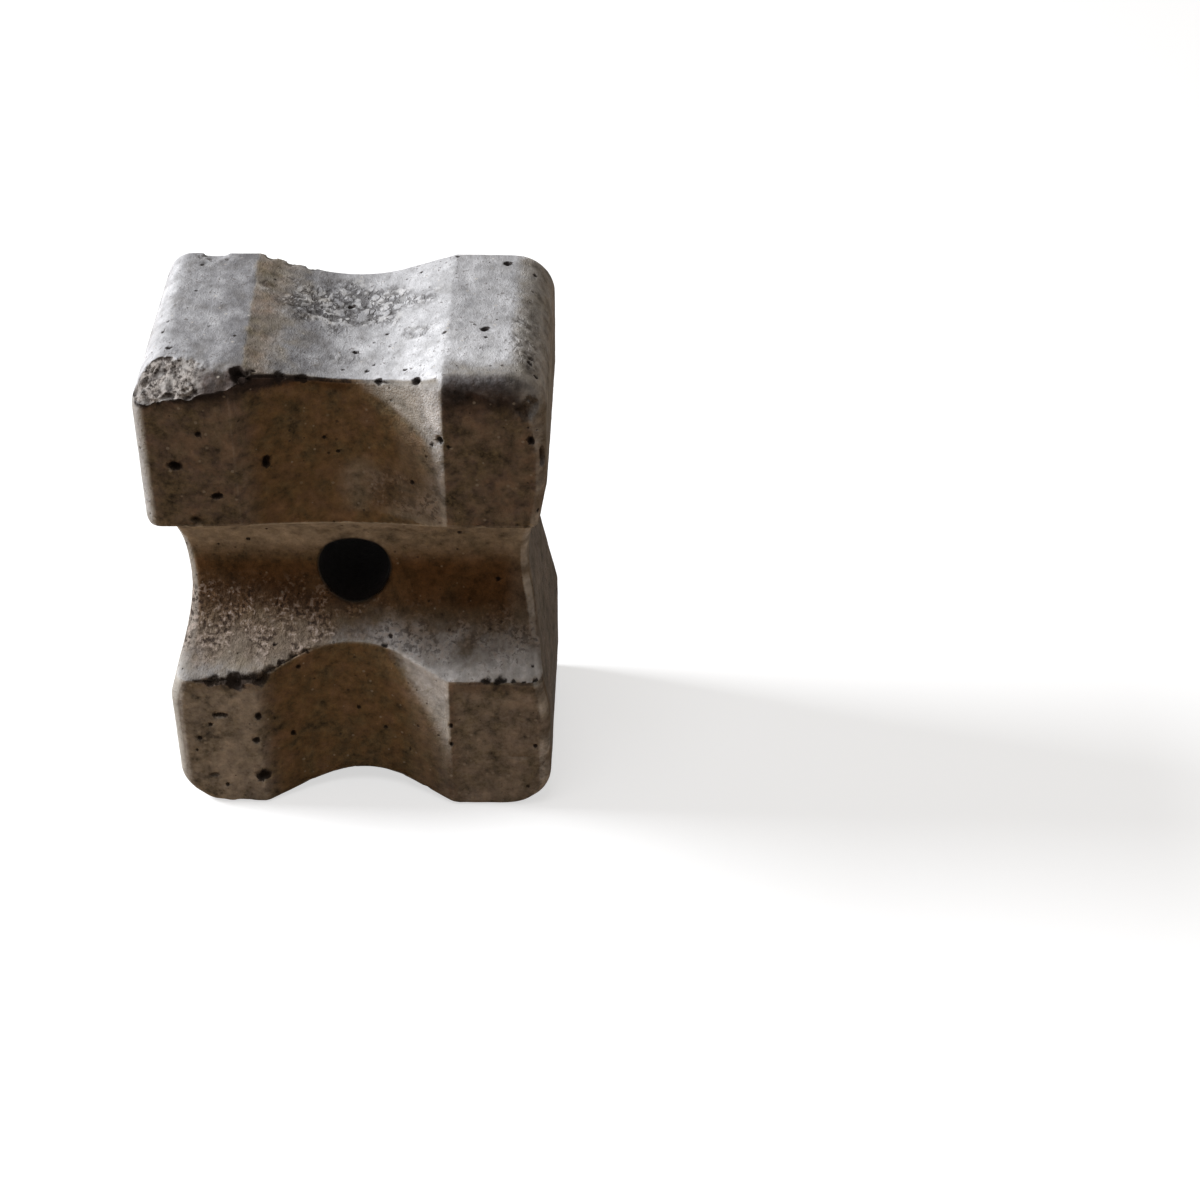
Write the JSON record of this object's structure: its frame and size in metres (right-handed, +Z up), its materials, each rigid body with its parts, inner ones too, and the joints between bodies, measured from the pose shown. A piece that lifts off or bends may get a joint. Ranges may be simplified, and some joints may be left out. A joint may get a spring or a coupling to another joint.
{
  "type": "concrete cover block",
  "caption": "Cast concrete spacer block with crossed front saddles, end and side saddles for reinforcing bars, and a through hole for tie wire.",
  "frame": {"origin": "middle of the base, on the plane of the two feet", "axes": "+Z up the height, +Y from the saddle face to the flat back face, +X to the right seen from the saddle face"},
  "size_m": [0.048, 0.03, 0.063],
  "materials": {
    "cast_concrete": "dry fine concrete, dusty, with air holes and worn edges"
  },
  "bodies": {
    "root": {"cover_block": "cast_concrete"}
  },
  "joints": []
}
